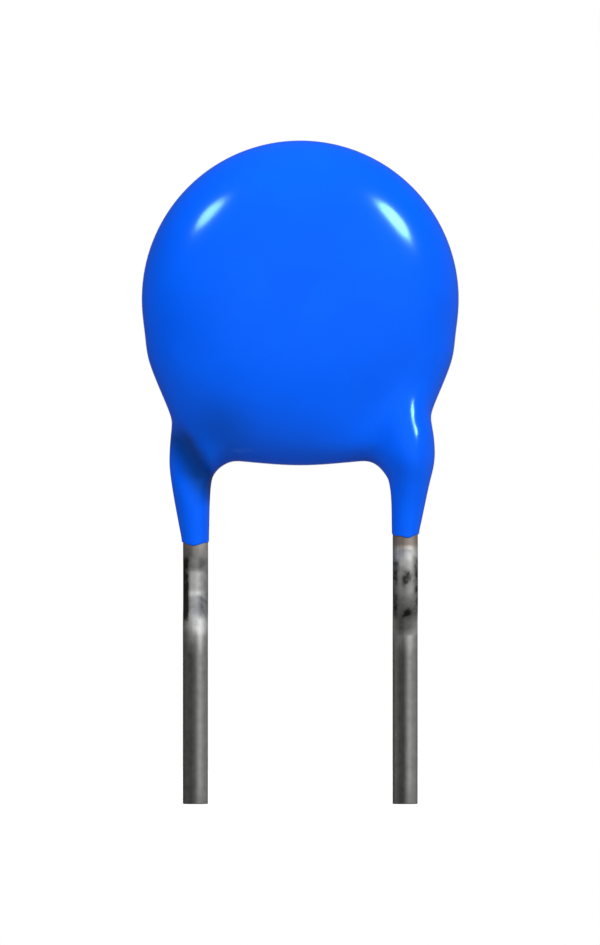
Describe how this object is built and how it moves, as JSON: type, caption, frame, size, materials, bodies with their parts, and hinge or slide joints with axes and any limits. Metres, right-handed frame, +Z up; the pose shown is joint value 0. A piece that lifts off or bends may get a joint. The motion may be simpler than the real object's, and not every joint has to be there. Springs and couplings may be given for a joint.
{
  "type": "ceramic disc capacitor",
  "caption": "Radial ceramic disc capacitor: a round epoxy-coated disc whose coating runs down as tapering legs onto straight, kinked tinned wire leads.",
  "frame": {"origin": "on the surface of the circuit board that the part is soldered to, half-way between its two leads", "axes": "+X from the left lead to the right lead, +Y through the disc from its front face to its rear face, +Z up from the board along the leads"},
  "size_m": [0.0076, 0.003, 0.0158],
  "materials": {
    "epoxy": "smooth blue epoxy dip coat, high gloss",
    "ceramic": "fired barium titanate ceramic, matt tan",
    "silver": "fired silver film, matt",
    "solder": "tin solder, set with a dull sheen",
    "tinned_wire": "tin-plated copper-clad steel wire, dull with fine drawing marks"
  },
  "bodies": {
    "root": {"epoxy_coating": "epoxy", "ceramic_disc": "ceramic", "front_electrode": "silver", "rear_electrode": "silver", "front_solder": "solder", "rear_solder": "solder", "left_lead": "tinned_wire", "right_lead": "tinned_wire"}
  },
  "joints": []
}
